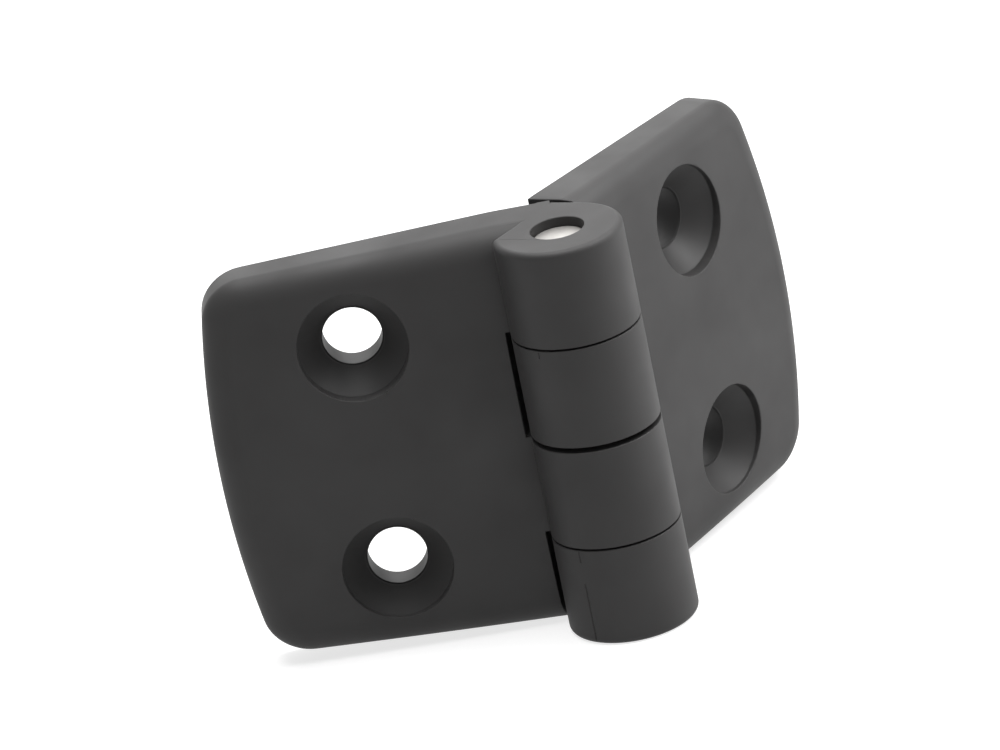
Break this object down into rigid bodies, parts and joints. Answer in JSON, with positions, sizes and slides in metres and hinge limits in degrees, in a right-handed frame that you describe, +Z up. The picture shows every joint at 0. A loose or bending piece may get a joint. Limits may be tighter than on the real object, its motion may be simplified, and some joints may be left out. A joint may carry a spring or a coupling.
{
  "type": "butt hinge",
  "caption": "Heavy moulded plastic cabinet hinge with interleaved knuckles on a plain steel pin and countersunk screw holes in both leaves.",
  "frame": {"origin": "on the surface that the hinge stands on, under the middle of its bounding box; the pin axis is 12.97 mm in front of it, at x = 0", "axes": "+Z up along the pin, +Y back towards the mounting faces, on the line that halves the fold; the fixed leaf reaches towards -X and the swinging leaf towards +X, each folded 26.8 degrees back"},
  "size_m": [0.097, 0.0456, 0.064],
  "materials": {
    "leaf_polyamide": "black glass-filled polyamide, finely textured by the mould",
    "pin_steel": "drawn bright steel, cut and faced at the ends"
  },
  "bodies": {
    "fixed": {"fixed_leaf": "leaf_polyamide", "hinge_pin": "pin_steel"},
    "swing": {"swing_leaf": "leaf_polyamide"}
  },
  "joints": [
    {"name": "leaf_swing", "type": "hinge", "parent": "fixed", "child": "swing", "pos_m": [0, -0.01297, 0.032], "axis": [0, 0, -1], "range_deg": [-2.4, 233.6]}
  ]
}
